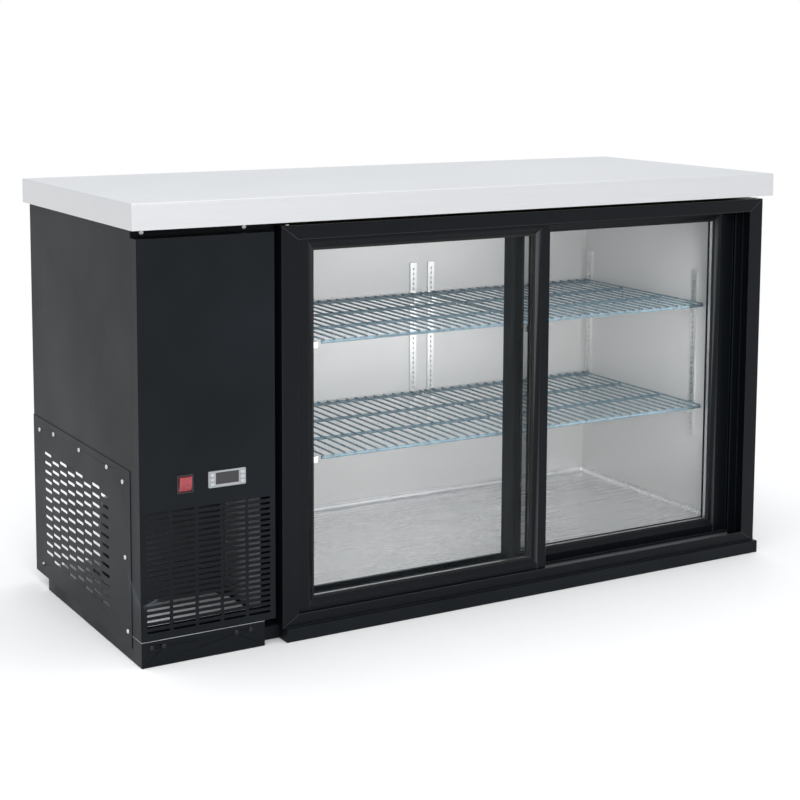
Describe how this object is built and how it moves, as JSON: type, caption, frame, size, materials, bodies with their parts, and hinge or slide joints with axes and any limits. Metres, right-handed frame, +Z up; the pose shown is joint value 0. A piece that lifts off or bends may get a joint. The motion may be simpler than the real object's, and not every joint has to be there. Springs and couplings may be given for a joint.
{
  "type": "under counter fridge",
  "caption": "Low counter fridge with a steel worktop, sliding glass doors, wire shelves and a side machine bay.",
  "frame": {"origin": "bottom centre of the whole object, on the floor", "axes": "+X to the right seen from the front, +Y to the back, +Z up"},
  "size_m": [1.54, 0.63, 0.88],
  "materials": {
    "stainless": "satin",
    "core_board": "matte",
    "foam": "matte",
    "liner_metal": "satin",
    "tray_metal": "satin",
    "galvanised": "matte",
    "black_paint": "satin",
    "black_aluminium": "satin",
    "glass": "gloss",
    "spacer_metal": "satin",
    "black_rubber": "matte",
    "zinc": "satin",
    "shelf_coating": "satin",
    "compressor_paint": "gloss",
    "coil_aluminium": "matte",
    "copper": "satin",
    "black_plastic": "matte",
    "white_plastic": "satin",
    "red_plastic": "gloss",
    "grey_plastic": "satin",
    "key_plastic": "satin",
    "screen_plastic": "gloss"
  },
  "bodies": {
    "cabinet": {"base_pan": "black_paint", "centre_post": "zinc", "compressor": "compressor_paint", "condenser": "coil_aluminium", "condenser_fan_motor": "compressor_paint", "controller_body": "grey_plastic", "controller_screen": "screen_plastic", "cord_gland": "black_plastic", "evaporator_coil": "coil_aluminium", "evaporator_cover": "liner_metal", "evaporator_fan_motor": "compressor_paint", "face_frame": "black_paint", "fan_shroud": "black_paint", "floor_tray": "tray_metal", "frame_head": "black_aluminium", "frame_jamb_left": "black_aluminium", "frame_jamb_right": "black_aluminium", "frame_sill": "black_aluminium", "front_cover": "black_paint", "insulation": "foam", "liner": "liner_metal", "panel_screws": "zinc", "pipework": "copper", "plinth": "black_paint", "rear_and_partition_panels": "galvanised", "rear_grille": "black_paint", "shelf_clips": "zinc", "shelf_lower_left": "shelf_coating", "shelf_lower_right": "shelf_coating", "shelf_standards": "zinc", "shelf_upper_left": "shelf_coating", "shelf_upper_right": "shelf_coating", "side_access_panel": "black_paint", "side_panel_left": "black_paint", "side_panel_right": "black_paint", "switch_housing": "black_plastic", "worktop": "stainless", "worktop_core": "core_board"},
    "outer_door": {"outer_door_frame": "black_aluminium", "outer_door_glass": "glass", "outer_door_spacer": "spacer_metal", "outer_door_glazing_seal": "black_rubber"},
    "inner_door": {"inner_door_frame": "black_aluminium", "inner_door_glass": "glass", "inner_door_spacer": "spacer_metal", "inner_door_glazing_seal": "black_rubber", "meeting_seal": "black_rubber"},
    "rocker": {"switch_rocker": "red_plastic"},
    "condenser_fan": {"condenser_fan_blade": "black_plastic"},
    "evaporator_fan": {"evaporator_fan_blade": "black_plastic"},
    "outer_door_roller_left": {"outer_door_roller_left": "white_plastic"},
    "outer_door_roller_right": {"outer_door_roller_right": "white_plastic"},
    "inner_door_roller_left": {"inner_door_roller_left": "white_plastic"},
    "inner_door_roller_right": {"inner_door_roller_right": "white_plastic"},
    "key_1": {"controller_key_1": "key_plastic"},
    "key_2": {"controller_key_2": "key_plastic"},
    "key_3": {"controller_key_3": "key_plastic"},
    "key_4": {"controller_key_4": "key_plastic"},
    "key_5": {"controller_key_5": "key_plastic"},
    "key_6": {"controller_key_6": "key_plastic"}
  },
  "joints": [
    {"name": "outer_door_slide", "type": "slide", "parent": "cabinet", "child": "outer_door", "axis": [1, 0, 0], "range_m": [0, 0.545]},
    {"name": "inner_door_slide", "type": "slide", "parent": "cabinet", "child": "inner_door", "axis": [-1, 0, 0], "range_m": [0, 0.505]},
    {"name": "outer_door_roller_left_spin", "type": "hinge", "parent": "outer_door", "child": "outer_door_roller_left", "pos_m": [-0.356, -0.275, 0.0423], "axis": [0, 1, 0], "range_deg": [0, 3475]},
    {"name": "outer_door_roller_right_spin", "type": "hinge", "parent": "outer_door", "child": "outer_door_roller_right", "pos_m": [0.092, -0.275, 0.0423], "axis": [0, 1, 0], "range_deg": [0, 3475]},
    {"name": "inner_door_roller_left_spin", "type": "hinge", "parent": "inner_door", "child": "inner_door_roller_left", "pos_m": [0.185, -0.233, 0.0423], "axis": [0, 1, 0], "range_deg": [-3220, 0]},
    {"name": "inner_door_roller_right_spin", "type": "hinge", "parent": "inner_door", "child": "inner_door_roller_right", "pos_m": [0.633, -0.233, 0.0423], "axis": [0, 1, 0], "range_deg": [-3220, 0]},
    {"name": "power_rocker", "type": "hinge", "parent": "cabinet", "child": "rocker", "pos_m": [-0.664, -0.296, 0.3445], "axis": [1, 0, 0], "range_deg": [-20, 0]},
    {"name": "condenser_fan_spin", "type": "hinge", "parent": "cabinet", "child": "condenser_fan", "pos_m": [-0.615, -0.1, 0.177], "axis": [0, 1, 0], "continuous": true},
    {"name": "evaporator_fan_spin", "type": "hinge", "parent": "cabinet", "child": "evaporator_fan", "pos_m": [-0.33, 0.0475, 0.6], "axis": [1, 0, 0], "continuous": true},
    {"name": "key_1_press", "type": "slide", "parent": "cabinet", "child": "key_1", "axis": [0, 1, 0], "range_m": [0, 0.0007], "stiffness_N_per_m": 400},
    {"name": "key_2_press", "type": "slide", "parent": "cabinet", "child": "key_2", "axis": [0, 1, 0], "range_m": [0, 0.0007], "stiffness_N_per_m": 400},
    {"name": "key_3_press", "type": "slide", "parent": "cabinet", "child": "key_3", "axis": [0, 1, 0], "range_m": [0, 0.0007], "stiffness_N_per_m": 400},
    {"name": "key_4_press", "type": "slide", "parent": "cabinet", "child": "key_4", "axis": [0, 1, 0], "range_m": [0, 0.0007], "stiffness_N_per_m": 400},
    {"name": "key_5_press", "type": "slide", "parent": "cabinet", "child": "key_5", "axis": [0, 1, 0], "range_m": [0, 0.0007], "stiffness_N_per_m": 400},
    {"name": "key_6_press", "type": "slide", "parent": "cabinet", "child": "key_6", "axis": [0, 1, 0], "range_m": [0, 0.0007], "stiffness_N_per_m": 400}
  ],
  "couplings": [
    {"joint": "outer_door_roller_left_spin", "follows": "outer_door_slide", "rad_per_m": 111.11},
    {"joint": "outer_door_roller_right_spin", "follows": "outer_door_slide", "rad_per_m": 111.11},
    {"joint": "inner_door_roller_left_spin", "follows": "inner_door_slide", "rad_per_m": -111.11},
    {"joint": "inner_door_roller_right_spin", "follows": "inner_door_slide", "rad_per_m": -111.11}
  ]
}
